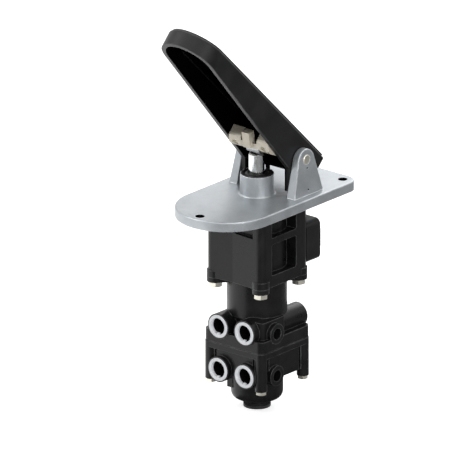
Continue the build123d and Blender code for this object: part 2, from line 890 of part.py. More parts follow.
# Side port on the +Y side, with its drilling
def side_port(port_z, root_y):
    with BuildPart() as boss:
        with BuildSketch(side_plane(side_port_face_y)):
            with Locations((side_port_x, port_z)):
                Circle(side_port_boss_radius)
        extrude(amount=side_port_face_y - root_y)
    with BuildPart() as hole:
        for radius, depth in (
            (side_port_radius, side_port_depth),
            (side_drill_radius, side_port_face_y - side_drill_foot_y),
        ):
            with BuildSketch(side_plane(side_port_face_y)):
                with Locations((side_port_x, port_z)):
                    Circle(radius)
            extrude(amount=depth)
    return boss.part, hole.part


# Upper valve body: arms, tube, port block and flange in one casting
with BuildPart() as upper_valve_body:
    with BuildSketch(face_plane(tube_bottom_z)):
        Circle(tube_radius)
    extrude(amount=housing_bottom_z - tube_bottom_z)
    with BuildSketch(face_plane(arm_bottom_z)):
        Circle(tube_radius)
        for turn in (45, 135):
            with Locations((0, 0)):
                Rectangle(2 * column_offset * sqrt(2), arm_width, rotation=turn)
        with Locations(*column_points):
            Circle(housing_foot_radius)
    extrude(amount=arm_thickness)
    with BuildSketch(face_plane(tube_bottom_z)):
        Circle(neck_radius)
    extrude(amount=flange_top_z - tube_bottom_z)
    # Pad that carries the side port
    with BuildSketch(face_plane(side_pad_top_z)):
        with Locations(((side_pad_toe_x + side_pad_heel_x) / 2, side_pad_face_y - side_pad_depth / 2)):
            RectangleRounded(side_pad_toe_x - side_pad_heel_x, side_pad_depth, side_pad_radius)
    extrude(amount=flange_top_z - side_pad_top_z)
    with BuildSketch(face_plane(seam_z)):
        RectangleRounded(2 * flange_half_width, 2 * flange_half_width, flange_corner_radius)
    extrude(amount=flange_thickness)
    port_bosses, port_bores = toe_ports(upper_port_z)
    side_boss, side_hole = side_port(upper_side_port_z, side_pad_face_y - overlap)
    add(port_bosses)
    add(side_boss)
    # Blind boss on the heel side
    with BuildSketch(Plane.YZ.offset(-rear_boss_reach)):
        with Locations((rear_boss_y, upper_port_z)):
            Circle(rear_boss_radius)
    extrude(amount=rear_boss_reach)
    add(port_bores, mode=Mode.SUBTRACT)
    add(side_hole, mode=Mode.SUBTRACT)
    # Stepped bore: piston, valve seat, valve chamber
    with BuildSketch(Plane.XZ):
        with BuildLine():
            Polyline(
                (0, housing_bottom_z),
                (primary_bore_radius, housing_bottom_z),
                (primary_bore_radius, primary_floor_z),
                (seat_radius, primary_floor_z),
                (seat_radius, primary_floor_z - seat_thickness),
                (valve_chamber_radius, primary_floor_z - seat_thickness),
                (valve_chamber_radius, seam_z),
                (0, seam_z),
                close=True,
            )
        make_face()
    revolve(axis=Axis.Z, mode=Mode.SUBTRACT)
    # Bolt holes: clearance in the arms, thread in the flange
    with BuildSketch(face_plane(arm_bottom_z)):
        with Locations(*column_points):
            Circle(housing_bolt_radius + bolt_hole_gap)
    extrude(amount=arm_thickness, mode=Mode.SUBTRACT)
    with BuildSketch(face_plane(seam_z)):
        with Locations(*post_points):
            Circle(body_bolt_radius + thread_gap)
    extrude(amount=body_bolt_reach + thread_gap, mode=Mode.SUBTRACT)
save(upper_valve_body, "upper_valve_body")

# Gasket between the two valve bodies
with BuildPart() as body_gasket:
    with BuildSketch(face_plane(lower_top_z)):
        RectangleRounded(
            2 * (flange_half_width - gasket_inset),
            2 * (flange_half_width - gasket_inset),
            flange_corner_radius - gasket_inset,
        )
        Circle(relay_bore_radius, mode=Mode.SUBTRACT)
        with Locations(*post_points):
            Circle(body_bolt_radius + bolt_hole_gap, mode=Mode.SUBTRACT)
    extrude(amount=gasket_thickness)
save(body_gasket, "body_gasket")

# Lower valve body: flange, four posts, recessed walls, barrel and port bosses in one casting
with BuildPart() as lower_valve_body:
    with BuildSketch(face_plane(lower_top_z)):
        RectangleRounded(2 * flange_half_width, 2 * flange_half_width, flange_corner_radius)
    extrude(amount=-lower_flange_thickness)
    with BuildSketch(face_plane(lower_top_z)):
        with Locations(*post_points):
            Circle(post_radius)
    extrude(amount=post_bottom_z - lower_top_z)
    wall_half_width = flange_half_width - lower_wall_inset
    with BuildSketch(face_plane(lower_top_z)):
        RectangleRounded(2 * wall_half_width, 2 * wall_half_width, post_radius)
        with Locations((0, 0)):
            Rectangle(
                2 * (wall_half_width - lower_wall_thickness),
                2 * (wall_half_width - lower_wall_thickness),
                mode=Mode.SUBTRACT,
            )
    extrude(amount=lower_wall_bottom_z - lower_top_z)
    # Grooves in the walls beside the posts
    with BuildSketch(face_plane(lower_wall_bottom_z)):
        for i, j in corner_signs:
            with Locations((i * wall_groove_offset, j * wall_half_width)):
                Rectangle(wall_groove_width, 2 * wall_groove_depth)
            with Locations((i * wall_half_width, j * wall_groove_offset)):
                Rectangle(2 * wall_groove_depth, wall_groove_width)
    extrude(
        amount=lower_top_z - lower_flange_thickness - lower_wall_bottom_z,
        mode=Mode.SUBTRACT,
    )
    with BuildSketch(Plane.XZ):
        with BuildLine():
            Polyline(
                (barrel_radius, barrel_bottom_z),
                (barrel_radius, lower_top_z),
                (0, lower_top_z),
                (0, barrel_foot_z),
                (barrel_foot_radius, barrel_foot_z),
            )
            Spline(
                (barrel_foot_radius, barrel_foot_z),
                (barrel_radius, barrel_bottom_z),
                tangents=((1, 0), (0, 1)),
            )
        make_face()
    revolve(axis=Axis.Z)
    # Cross web that joins the barrel to the walls
    with BuildSketch(face_plane(lower_port_z)):
        Rectangle(2 * wall_half_width, 2 * lower_web_half_width)
        Rectangle(2 * lower_web_half_width, 2 * wall_half_width)
    extrude(amount=lower_top_z - lower_port_z)
    # Small lug under the left port
    with BuildSketch(face_plane(lug_bottom_z)):
        with Locations((lug_toe_x / 2, (lug_left_y + lug_right_y) / 2)):
            Rectangle(lug_toe_x, lug_right_y - lug_left_y)
    extrude(amount=lower_port_z - lug_bottom_z)
    port_bosses, port_bores = toe_ports(lower_port_z)
    side_boss, side_hole = side_port(lower_side_port_z, boss_root_x)
    add(port_bosses)
    add(side_boss)
    add(port_bores, mode=Mode.SUBTRACT)
    add(side_hole, mode=Mode.SUBTRACT)
    with BuildSketch(Plane.XZ):
        with BuildLine():
            Polyline(
                (0, lower_top_z),
                (relay_bore_radius, lower_top_z),
                (relay_bore_radius, relay_floor_z),
                (seat_radius, relay_floor_z),
                (seat_radius, relay_floor_z - seat_thickness),
                (exhaust_bore_radius, relay_floor_z - seat_thickness),
                (exhaust_bore_radius, barrel_foot_z),
                (0, barrel_foot_z),
                close=True,
            )
        make_face()
    revolve(axis=Axis.Z, mode=Mode.SUBTRACT)
    with BuildSketch(face_plane(post_bottom_z)):
        with Locations(*post_points):
            Circle(body_bolt_radius + bolt_hole_gap)
    extrude(amount=lower_top_z - post_bottom_z, mode=Mode.SUBTRACT)
save(lower_valve_body, "lower_valve_body")


# Port insert: a flat ring round the bore
def port_insert(name, y, z):
    with BuildPart() as insert:
        with BuildSketch(Plane.YZ.offset(port_face_x - port_ring_depth)):
            with Locations((y, z)):
                Circle(port_ring_radius)
                Circle(port_radius, mode=Mode.SUBTRACT)
        extrude(amount=port_ring_depth + port_ring_proud)
        fillet(edges().group_by(Axis.X)[-1], port_ring_edge)
    save(insert, name)


for level, port_z in (("upper", upper_port_z), ("lower", lower_port_z)):
    for hand, sign in (("right", 1), ("left", -1)):
        port_insert(level + "_" + hand + "_port_insert", sign * port_y, port_z)

# Four hexagon bolts, driven from below, each head with a round chamfer at its foot
def hex_bolts(name, offset, seat_z, head_width, head_height, shank_radius, top_z):
    corner_radius = head_width / sqrt(3)
    with BuildPart() as bolt:
        with BuildSketch(face_plane(seat_z - head_height)):
            RegularPolygon(head_width / 2, 6, major_radius=False, rotation=bolt_head_turn_deg)
        extrude(amount=head_height)
        with BuildSketch(Plane.XZ):
            with BuildLine():
                Polyline(
                    (0, seat_z),
                    (corner_radius, seat_z),
                    (corner_radius, seat_z - head_height + bolt_head_chamfer),
                    (corner_radius - 2 * bolt_head_chamfer, seat_z - head_height),
                    (0, seat_z - head_height),
                    close=True,
                )
            make_face()
        revolve(axis=Axis.Z, mode=Mode.INTERSECT)
        with BuildSketch(face_plane(seat_z)):
            Circle(shank_radius)
        extrude(amount=top_z - seat_z)
    with BuildPart() as bolts:
        for i, j in corner_signs:
            add(bolt.part.moved(Location((i * offset, j * offset, 0))))
    save(bolts, name)


# Long bolts from under the arms into the plate, and short ones from under the posts into the flange
hex_bolts(
    "housing_bolts",
    column_offset,
    arm_bottom_z,
    housing_bolt_head_width,
    housing_bolt_head_height,
    housing_bolt_radius,
    housing_bolt_reach,
)
hex_bolts(
    "body_bolts",
    post_offset,
    post_bottom_z,
    body_bolt_head_width,
    body_bolt_head_height,
    body_bolt_radius,
    seam_z + body_bolt_reach,
)


# A turned piece from its outline, given as radius and height
def turned(name, points):
    with BuildPart() as piece:
        with BuildSketch(Plane.XZ):
            with BuildLine():
                Polyline(*points, close=True)
            make_face()
        revolve(axis=Axis.Z)
    save(piece, name)


# Piston with a ring groove and a hollow stem that ends in the exhaust seat
def piston(name, radius, top, height, stem_foot):
    groove = 2 * piston_ring_radius
    middle = top - height / 2
    turned(
        name,
        [
            (0, top),
            (radius, top),
            (radius, middle + groove / 2),
            (radius - groove, middle + groove / 2),
            (radius - groove, middle - groove / 2),
            (radius, middle - groove / 2),
            (radius, top - height),
            (primary_stem_radius, top - height),
            (primary_stem_radius, stem_foot),
            (stem_bore_radius, stem_foot),
            (stem_bore_radius, top - height),
            (0, top - height),
        ],
    )


def piston_ring(name, radius, top, height):
    with BuildPart() as ring:
        with BuildSketch(Plane.XZ):
            with Locations((radius - piston_ring_radius - seal_gap, top - height / 2)):
                Circle(piston_ring_radius - seal_gap)
        revolve(axis=Axis.Z)
    save(ring, name)


# Valve: a rubber-faced disc on a tube
def valve(name, disc_top):
    turned(
        name,
        [
            (valve_tube_bore_radius, disc_top),
            (valve_disc_radius, disc_top),
            (valve_disc_radius, disc_top - valve_disc_thickness),
            (valve_tube_radius, disc_top - valve_disc_thickness),
            (valve_tube_radius, disc_top - valve_tube_length),
            (valve_tube_bore_radius, disc_top - valve_tube_length),
        ],
    )


# Coil spring with its wire ends left plain
def coil_spring(name, mean_radius, wire, foot, height, turns):
    rise = height - wire
    with BuildPart() as spring:
        with BuildLine():
            coil = Helix(rise / turns, rise, mean_radius, center=(0, 0, foot + wire / 2))
        with BuildSketch(Plane(origin=coil @ 0, z_dir=coil % 0)):
            RegularPolygon(wire / 2, 8)
        sweep()
    save(spring, name)


primary_piston_radius = primary_bore_radius - piston_gap
relay_piston_radius = relay_bore_radius - piston_gap
primary_seat_z = primary_floor_z - seat_thickness
relay_seat_z = relay_floor_z - seat_thickness
primary_valve_top = primary_seat_z - valve_gap
relay_valve_top = relay_seat_z - valve_gap

piston(
    "primary_piston",
    primary_piston_radius,
    primary_piston_top_z,
    primary_piston_height,
    primary_valve_top + exhaust_gap,
)
piston_ring("primary_piston_ring", primary_piston_radius, primary_piston_top_z, primary_piston_height)
valve("primary_valve", primary_valve_top)
piston(
    "relay_piston",
    relay_piston_radius,
    relay_piston_top_z,
    relay_piston_height,
    relay_valve_top + exhaust_gap,
)
piston_ring("relay_piston_ring", relay_piston_radius, relay_piston_top_z, relay_piston_height)
valve("relay_valve", relay_valve_top)

# Rubber graduating spring between the cup and the primary piston
spring_top = plunger_foot_z - cup_thickness
spring_middle = (spring_top + primary_piston_top_z) / 2
with BuildPart() as graduating_spring:
    with BuildSketch(Plane.XZ):
        with BuildLine():
            Polyline(
                (rubber_spring_radius, spring_top),
                (rubber_spring_bore, spring_top),
                (rubber_spring_bore, primary_piston_top_z),
                (rubber_spring_radius, primary_piston_top_z),
            )
            ThreePointArc(
                (rubber_spring_radius, primary_piston_top_z),
                (rubber_spring_waist, spring_middle),
                (rubber_spring_radius, spring_top),
            )
        make_face()
    revolve(axis=Axis.Z)
save(graduating_spring, "graduating_spring")

# Return springs
primary_piston_foot = primary_piston_top_z - primary_piston_height
relay_piston_foot = relay_piston_top_z - relay_piston_height
coil_spring(
    "primary_return_spring",
    return_spring_radius,
    return_spring_wire,
    primary_floor_z,
    primary_piston_foot - primary_floor_z,
    return_spring_turns,
)
coil_spring(
    "relay_return_spring",
    relay_spring_radius,
    spring_wire,
    relay_floor_z,
    relay_piston_foot - relay_floor_z,
    relay_spring_turns,
)

# Guides for the two valve tubes, with a spring under each disc
for name, disc_top, bore in (
    ("primary_valve", primary_valve_top, valve_chamber_radius),
    ("relay_valve", relay_valve_top, exhaust_bore_radius),
):
    disc_foot = disc_top - valve_disc_thickness
    guide_top = disc_foot - valve_spring_height
    turned(
        name + "_guide",
        [
            (valve_tube_radius + slide_gap, guide_top),
            (bore - guide_gap, guide_top),
            (bore - guide_gap, guide_top - guide_height),
            (valve_tube_radius + slide_gap, guide_top - guide_height),
        ],
    )
    coil_spring(
        name + "_spring",
        valve_spring_radius,
        spring_wire,
        guide_top,
        valve_spring_height,
        valve_spring_turns,
    )

# Exhaust silencer, pushed into the barrel's foot, and its rubber flap
flap_seat_z = exhaust_bottom_z + flap_seat_depth
exhaust_groove_z = (exhaust_ring_top_z + exhaust_bottom_z) / 2
turned(
    "exhaust_silencer",
    [
        (exhaust_mouth_radius, barrel_foot_z + exhaust_plug_height),
        (exhaust_bore_radius - guide_gap, barrel_foot_z + exhaust_plug_height),
        (exhaust_bore_radius - guide_gap, barrel_foot_z),
        (exhaust_neck_radius, barrel_foot_z),
        (exhaust_neck_radius, exhaust_ring_top_z),
        (exhaust_ring_radius, exhaust_ring_top_z),
        (exhaust_ring_radius, exhaust_groove_z + exhaust_groove_height),
        (exhaust_ring_radius - exhaust_groove_depth, exhaust_groove_z + exhaust_groove_height),
        (exhaust_ring_radius - exhaust_groove_depth, exhaust_groove_z),
        (exhaust_ring_radius, exhaust_groove_z),
        (exhaust_ring_radius, exhaust_bottom_z),
        (flap_seat_radius, exhaust_bottom_z),
        (flap_seat_radius, flap_seat_z),
        (exhaust_mouth_radius, flap_seat_z),
    ],
)
with BuildPart() as exhaust_flap:
    with BuildSketch(face_plane(flap_seat_z - flap_thickness)):
        Circle(flap_seat_radius - flap_gap)
    extrude(amount=flap_thickness)
save(exhaust_flap, "exhaust_flap")
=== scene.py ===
import math
import json
import bmesh
import bpy
from mathutils import Matrix, Vector


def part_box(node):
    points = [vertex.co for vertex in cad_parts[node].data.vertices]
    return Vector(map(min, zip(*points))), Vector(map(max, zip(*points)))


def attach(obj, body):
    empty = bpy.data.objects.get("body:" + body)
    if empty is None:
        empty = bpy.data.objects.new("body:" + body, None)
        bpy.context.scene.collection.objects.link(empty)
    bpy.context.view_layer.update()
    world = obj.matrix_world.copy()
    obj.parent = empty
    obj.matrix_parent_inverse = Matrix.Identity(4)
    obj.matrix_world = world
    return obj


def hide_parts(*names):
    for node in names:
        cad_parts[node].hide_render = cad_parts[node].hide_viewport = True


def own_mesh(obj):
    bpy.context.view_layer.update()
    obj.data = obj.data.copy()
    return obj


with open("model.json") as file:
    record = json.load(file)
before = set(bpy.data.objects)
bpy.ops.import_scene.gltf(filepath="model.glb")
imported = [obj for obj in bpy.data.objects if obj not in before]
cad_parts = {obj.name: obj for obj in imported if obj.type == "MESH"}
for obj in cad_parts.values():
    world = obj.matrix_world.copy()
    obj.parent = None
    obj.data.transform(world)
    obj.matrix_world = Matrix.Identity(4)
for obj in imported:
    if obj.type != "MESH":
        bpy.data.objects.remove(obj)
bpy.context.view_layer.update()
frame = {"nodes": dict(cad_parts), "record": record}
nodes = frame["nodes"]
print("frame loaded:", len(nodes), "nodes")

# The photograph is a parallel view, one millimetre to the pixel
camera = {
    "azimuth": 129.9, "elevation": 19.8, "target": (0.0264, -0.0197, -0.0212),
    "width": 0.45, "distance": 2.0, "nearest": 0.05, "furthest": 20,
}


def makeCamera():
    turn = math.radians(camera["azimuth"])
    lift = math.radians(camera["elevation"])
    back = Vector((math.sin(turn) * math.cos(lift), -math.cos(turn) * math.cos(lift), math.sin(lift)))
    data = bpy.data.cameras.new("camera")
    data.type = "ORTHO"
    data.ortho_scale = camera["width"]
    data.clip_start = camera["nearest"]
    data.clip_end = camera["furthest"]
    eye = bpy.data.objects.new("camera", data)
    eye.rotation_mode = "QUATERNION"
    eye.rotation_quaternion = (-back).to_track_quat("-Z", "Y")
    eye.location = Vector(camera["target"]) + back * camera["distance"]
    bpy.context.scene.collection.objects.link(eye)
    bpy.context.scene.camera = eye


makeCamera()
print("camera placed")


class Wire:
    # wraps a socket, so that shader maths reads as an expression
    def __init__(self, finish, socket):
        self.finish = finish
        self.socket = socket

    def join(self, operation, *values):
        return self.finish.node("ShaderNodeMath", {"operation": operation}, dict(enumerate(values)))

    def __add__(self, other):
        return self.join("ADD", self, other)

    def __radd__(self, other):
        return self.join("ADD", other, self)

    def __sub__(self, other):
        return self.join("SUBTRACT", self, other)

    def __rsub__(self, other):
        return self.join("SUBTRACT", other, self)

    def __mul__(self, other):
        return self.join("MULTIPLY", self, other)

    def __rmul__(self, other):
        return self.join("MULTIPLY", other, self)

    def clamped(self):
        return self.join("MINIMUM", self.join("MAXIMUM", self, 0.0), 1.0)

    def power(self, other):
        return self.join("POWER", self, other)

    def below(self, other):
        return self.join("LESS_THAN", self, other)

    def above(self, other):
        return self.join("GREATER_THAN", self, other)

    def unsigned(self):
        return self.join("ABSOLUTE", self)


class Finish:
    def __init__(self, name):
        self.material = bpy.data.materials.new(name)
        self.material.use_nodes = True
        self.tree = self.material.node_tree
        self.surface = self.tree.nodes["Principled BSDF"]
        self.place = self.node("ShaderNodeTexCoord", out="Object")

    def node(self, kind, settings=None, inputs=None, out=0):
        made = self.tree.nodes.new(kind)
        for key, value in (settings or {}).items():
            setattr(made, key, value)
        for key, value in (inputs or {}).items():
            self.feed(made.inputs[key], value)
        return Wire(self, made.outputs[out])

    def feed(self, socket, value):
        if isinstance(value, Wire):
            self.tree.links.new(value.socket, socket)
        elif isinstance(value, tuple) and len(value) == 3 and len(socket.default_value) == 4:
            socket.default_value = (*value, 1)
        else:
            socket.default_value = value

    def set(self, **values):
        for key, value in values.items():
            self.feed(self.surface.inputs[key.replace("_", " ")], value)

    def noise(self, scale, detail, roughness, stretch=None):
        where = self.place
        if stretch:
            where = self.node("ShaderNodeMapping", None, {"Vector": where, "Scale": stretch})
        settings = {"Vector": where, "Scale": scale, "Detail": detail, "Roughness": roughness}
        return self.node("ShaderNodeTexNoise", None, settings)

    def specks(self, scale):
        return self.node("ShaderNodeTexVoronoi", None, {"Vector": self.place, "Scale": scale})

    def between(self, value, low, high):
        return self.node("ShaderNodeMapRange", None, {"Value": value, "From Min": low, "From Max": high})

    def blend(self, mask, first, second):
        inputs = {"Factor": mask, 6: first, 7: second}  # 6 and 7 are the colours, and so is output 2
        return self.node("ShaderNodeMix", {"data_type": "RGBA"}, inputs, out=2)

    def rounded(self, radius):
        return self.node("ShaderNodeBevel", {"samples": 6}, {"Radius": radius})

    # mask of the rounded edges, where a highlight is painted into the colour
    def edgeHighlightMask(self, edges, sharpness):
        flat = self.node("ShaderNodeNewGeometry", out=1)
        same = self.node("ShaderNodeVectorMath", {"operation": "DOT_PRODUCT"}, {0: edges, 1: flat}, out=1)
        return self.between(1 - same, 0.0, sharpness)

    def relief(self, height, strength, distance, edges):
        inputs = {"Height": height, "Strength": strength, "Distance": distance, "Normal": edges}
        return self.node("ShaderNodeBump", None, inputs)

    def apart(self):
        made = self.tree.nodes.new("ShaderNodeSeparateXYZ")
        self.feed(made.inputs[0], self.place)
        return [Wire(self, out) for out in made.outputs]


# Cast and painted metal: fine grain, blotches of tone, softly rounded edges, a painted highlight along those edges, and
# painted shade in hollows
# each finish's third tone is a highlight painted along its rounded edges; its dark places are painted shade
castings = {
    "plate_aluminium": {
        "tone": (0.36, 0.385, 0.405), "wearAndHighlight": (0.47, 0.495, 0.515), "bright": (0.85, 0.87, 0.88),
        "metal": 0.7, "rough": (0.32, 0.46), "gloss": 0.5,
        "grain": 900, "depth": 0.0003, "edge": 0.0013, "paintedShade": "holes",
    },
    "black_casting": {
        "tone": (0.004, 0.004, 0.0045), "wearAndHighlight": (0.009, 0.009, 0.0095), "bright": (0.12, 0.12, 0.122),
        "metal": 0.0, "rough": (0.25, 0.37), "gloss": 0.27,
        "grain": 1500, "depth": 0.0001, "edge": 0.0009, "paintedShade": "ports",
    },
    "treadle_paint": {
        "tone": (0.0055, 0.0055, 0.006), "wearAndHighlight": (0.011, 0.011, 0.0115), "bright": (0.075, 0.075, 0.078),
        "metal": 0.0, "rough": (0.34, 0.46), "gloss": 0.26,
        "grain": 2300, "depth": 0.00005, "edge": 0.0014, "paintedShade": "tray",
    },
    "black_plastic": {
        "tone": (0.007, 0.007, 0.0075), "wearAndHighlight": (0.012, 0.012, 0.0125), "bright": (0.035, 0.035, 0.036),
        "metal": 0.0, "rough": (0.38, 0.5), "gloss": 0.26,
        "grain": 2600, "depth": 0.00003, "edge": 0.0006, "paintedShade": None,
    },
    "lever_zinc": {
        "tone": (0.46, 0.42, 0.34), "wearAndHighlight": (0.58, 0.54, 0.46), "bright": (0.76, 0.72, 0.62),
        "metal": 0.2, "rough": (0.34, 0.46), "gloss": 0.5,
        "grain": 1700, "depth": 0.00005, "edge": 0.0006, "paintedShade": None,
    },
}
castGrain = {
    "blotch": 55, "blotchDetail": 4.0, "blotchRoughness": 0.6, "grainDetail": 3.0, "grainRoughness": 0.55,
    "pitScale": 0.35, "pitWidth": 0.3, "toneBlotch": (0.35, 0.68), "toneGrain": (0.4, 0.7), "blotchShare": 0.7,
    "edgeSharpness": 0.1, "edgeBlotch": (0.25, 0.6), "roughBlotch": (0.45, 0.95), "roughGrain": 0.4,
    "grainShare": 0.7, "relief": 0.6,
}

# Painted shade: the walls of the plate's screw holes, the ears' dimples, the ports and
# the inside of the tray are painted dull black where shade falls
paintedShade = {
    "holes": [(0.089, 0.0), (-0.0865, 0.0393), (-0.0865, -0.0393)], "holeRadius": 0.0048,
    "dimples": [(-0.029, 0.0156), (-0.029, 0.038)], "dimpleRadius": 0.00105, "dimpleFoot": 0.0395,
    "ports": [-0.1244, -0.1702], "portAcross": 0.017, "portRadius": 0.0089, "portEnd": 0.0395,
    "pivot": (-0.029, 0.047), "slope": 44.4, "roof": 0.0155, "toe": 0.188, "reach": 0.02685,
    "tone": {"holes": 0.002, "ports": 0.014, "tray": 0.002},
}


# painted shade in the plate's screw holes and the ears' dimples
def shadeInHoles(x, y, z):
    mask = 0.0
    for centreX, centreY in paintedShade["holes"]:
        away = (x - centreX).power(2) + (y - centreY).power(2)
        mask = away.below(paintedShade["holeRadius"]**2) + mask
    outside = y.unsigned().above(paintedShade["dimpleFoot"])
    for centreX, centreZ in paintedShade["dimples"]:
        away = (x - centreX).power(2) + (z - centreZ).power(2)
        mask = away.below(paintedShade["dimpleRadius"]**2) * outside + mask
    return mask


# painted shade inside the ports
def shadeInPorts(x, y, z):
    mask = 0.0
    across = (y.unsigned() - paintedShade["portAcross"]).power(2)
    for centreZ in paintedShade["ports"]:
        away = (z - centreZ).power(2) + across
        mask = away.below(paintedShade["portRadius"]**2) + mask
    return mask * x.below(paintedShade["portEnd"]) * x.above(0.0)


# Painted shade in the tray's inside, which lies under its sloping roof; its toe end is round
def shadeInTray(x, y, z):
    slope = math.radians(paintedShade["slope"])
    x = x - paintedShade["pivot"][0]
    z = z - paintedShade["pivot"][1]
    height = z * math.cos(slope) - x * math.sin(slope)
    along = z * math.sin(slope) + x * math.cos(slope)
    past = along - paintedShade["toe"]
    past = past.join("MAXIMUM", past, 0.0)
    reach = past * past + y * y
    return height.below(paintedShade["roof"]) * reach.below(paintedShade["reach"]**2)


shadePlaces = {"holes": shadeInHoles, "ports": shadeInPorts, "tray": shadeInTray}


def castFinish(name):
    look = castings[name]
    finish = Finish(name)
    blotch = finish.noise(castGrain["blotch"], castGrain["blotchDetail"], castGrain["blotchRoughness"])
    grain = finish.noise(look["grain"], castGrain["grainDetail"], castGrain["grainRoughness"])
    pits = finish.between(finish.specks(look["grain"] * castGrain["pitScale"]), 0.0, castGrain["pitWidth"])
    share = castGrain["blotchShare"]
    blotchTone = finish.between(blotch, *castGrain["toneBlotch"]) * share
    grainTone = finish.between(grain, *castGrain["toneGrain"]) * (1 - share)
    mask = (blotchTone + grainTone).clamped()
    edges = finish.rounded(look["edge"])
    edgeHighlight = finish.edgeHighlightMask(edges, castGrain["edgeSharpness"])
    # painted highlight along the rounded edges, patchy with the blotches
    wearAndHighlight = (edgeHighlight * finish.between(blotch, *castGrain["edgeBlotch"])).clamped()
    tone = finish.blend(wearAndHighlight, finish.blend(mask, look["tone"], look["wearAndHighlight"]), look["bright"])
    metal = look["metal"]
    low, high = look["rough"]
    uneven = blotch + grain * castGrain["roughGrain"]
    rough = low + (high - low) * finish.between(uneven, *castGrain["roughBlotch"])
    if look["paintedShade"]:
        # painted shade: dull black, without reflection, where shade falls in the holes, dimples, ports and tray
        shadeMask = shadePlaces[look["paintedShade"]](*finish.apart())
        tone = finish.blend(shadeMask, tone, (paintedShade["tone"][look["paintedShade"]],) * 3)
        metal = shadeMask + (1 - shadeMask) * metal  # a rough black metal mirrors nothing
        rough = shadeMask + (1 - shadeMask) * rough
    finish.set(Base_Color=tone, Metallic=metal)
    finish.set(Specular_IOR_Level=look["gloss"], Roughness=rough)
    share = castGrain["grainShare"]
    height = grain * share + pits * (1 - share)
    finish.set(Normal=finish.relief(height, castGrain["relief"], look["depth"], edges))
    return finish.material


# Turned and plated metal: fine rings across the axis, and a faint smear
metals = {
    "bright_steel": {"tone": (0.78, 0.79, 0.80), "rough": 0.09, "rings": 5200, "depth": 0.000004, "edge": 0.0004},
    "pale_zinc": {"tone": (0.86, 0.84, 0.74), "rough": 0.4, "rings": 900, "depth": 0.00001, "edge": 0.0004},
    "plain_steel": {"tone": (0.50, 0.50, 0.50), "rough": 0.28, "rings": 1800, "depth": 0.00001, "edge": 0.0003},
    "inner_aluminium": {"tone": (0.66, 0.67, 0.69), "rough": 0.3, "rings": 3000, "depth": 0.00001, "edge": 0.0003},
    "bronze": {"tone": (0.48, 0.33, 0.16), "rough": 0.32, "rings": 2600, "depth": 0.00001, "edge": 0.0003},
}
metalGrain = {
    "smear": 140, "smearDetail": 3.0, "smearRoughness": 0.6, "toneSmear": (0.35, 0.7), "darker": 0.82,
    "ringStretch": 0.02, "ringDetail": 2.0, "ringRoughness": 0.5, "ringShare": 0.5,
    "roughSpread": 0.1, "roughSmear": (0.5, 1.0), "relief": 0.5,
}


def metalFinish(name):
    look = metals[name]
    finish = Finish(name)
    smear = finish.noise(metalGrain["smear"], metalGrain["smearDetail"], metalGrain["smearRoughness"])
    wide = look["rings"] * metalGrain["ringStretch"]
    rings = finish.noise(
        1.0, metalGrain["ringDetail"], metalGrain["ringRoughness"], stretch=(wide, wide, look["rings"]),
    )
    darker = tuple(metalGrain["darker"] * part for part in look["tone"])
    tone = finish.blend(finish.between(smear, *metalGrain["toneSmear"]), darker, look["tone"])
    uneven = smear + rings * metalGrain["ringShare"]
    rough = look["rough"] + metalGrain["roughSpread"] * finish.between(uneven, *metalGrain["roughSmear"])
    finish.set(Base_Color=tone, Metallic=1.0, Roughness=rough)
    finish.set(Normal=finish.relief(rings, metalGrain["relief"], look["depth"], finish.rounded(look["edge"])))
    return finish.material


# Rubber, dusty in patches
rubber = {
    "dust": 120, "dustDetail": 4.0, "dustRoughness": 0.65, "grain": 2400, "grainDetail": 2.0, "grainRoughness": 0.5,
    "tone": (0.005, 0.005, 0.005), "dusty": (0.012, 0.012, 0.012), "toneDust": (0.45, 0.75),
    "rough": 0.36, "roughSpread": 0.18, "roughDust": (0.3, 0.7), "gloss": 0.4,
    "relief": 0.5, "depth": 0.00004, "edge": 0.0004,
}


def rubberFinish(name):
    finish = Finish(name)
    dust = finish.noise(rubber["dust"], rubber["dustDetail"], rubber["dustRoughness"])
    grain = finish.noise(rubber["grain"], rubber["grainDetail"], rubber["grainRoughness"])
    tone = finish.blend(finish.between(dust, *rubber["toneDust"]), rubber["tone"], rubber["dusty"])
    rough = rubber["rough"] + rubber["roughSpread"] * finish.between(dust, *rubber["roughDust"])
    finish.set(Base_Color=tone, Roughness=rough, Specular_IOR_Level=rubber["gloss"])
    edges = finish.rounded(rubber["edge"])
    finish.set(Normal=finish.relief(grain, rubber["relief"], rubber["depth"], edges))
    return finish.material


# Moulded plastic
plastics = {
    "valve_plastic": {"tone": (0.62, 0.62, 0.58), "wearAndHighlight": (0.70, 0.70, 0.66)},
    "port_ring": {"tone": (0.60, 0.62, 0.65), "wearAndHighlight": (0.70, 0.71, 0.73)},
}
plasticGrain = {
    "tint": 160, "tintDetail": 3.0, "tintRoughness": 0.6, "grain": 2200, "grainDetail": 2.0, "grainRoughness": 0.5,
    "toneTint": (0.3, 0.7), "rough": 0.36, "roughSpread": 0.12, "relief": 0.4, "depth": 0.00002, "edge": 0.0004,
}


def plasticFinish(name):
    look = plastics[name]
    finish = Finish(name)
    tint = finish.noise(plasticGrain["tint"], plasticGrain["tintDetail"], plasticGrain["tintRoughness"])
    grain = finish.noise(plasticGrain["grain"], plasticGrain["grainDetail"], plasticGrain["grainRoughness"])
    tone = finish.blend(finish.between(tint, *plasticGrain["toneTint"]), look["tone"], look["wearAndHighlight"])
    finish.set(Base_Color=tone, Roughness=plasticGrain["rough"] + plasticGrain["roughSpread"] * grain)
    edges = finish.rounded(plasticGrain["edge"])
    finish.set(Normal=finish.relief(grain, plasticGrain["relief"], plasticGrain["depth"], edges))
    return finish.material


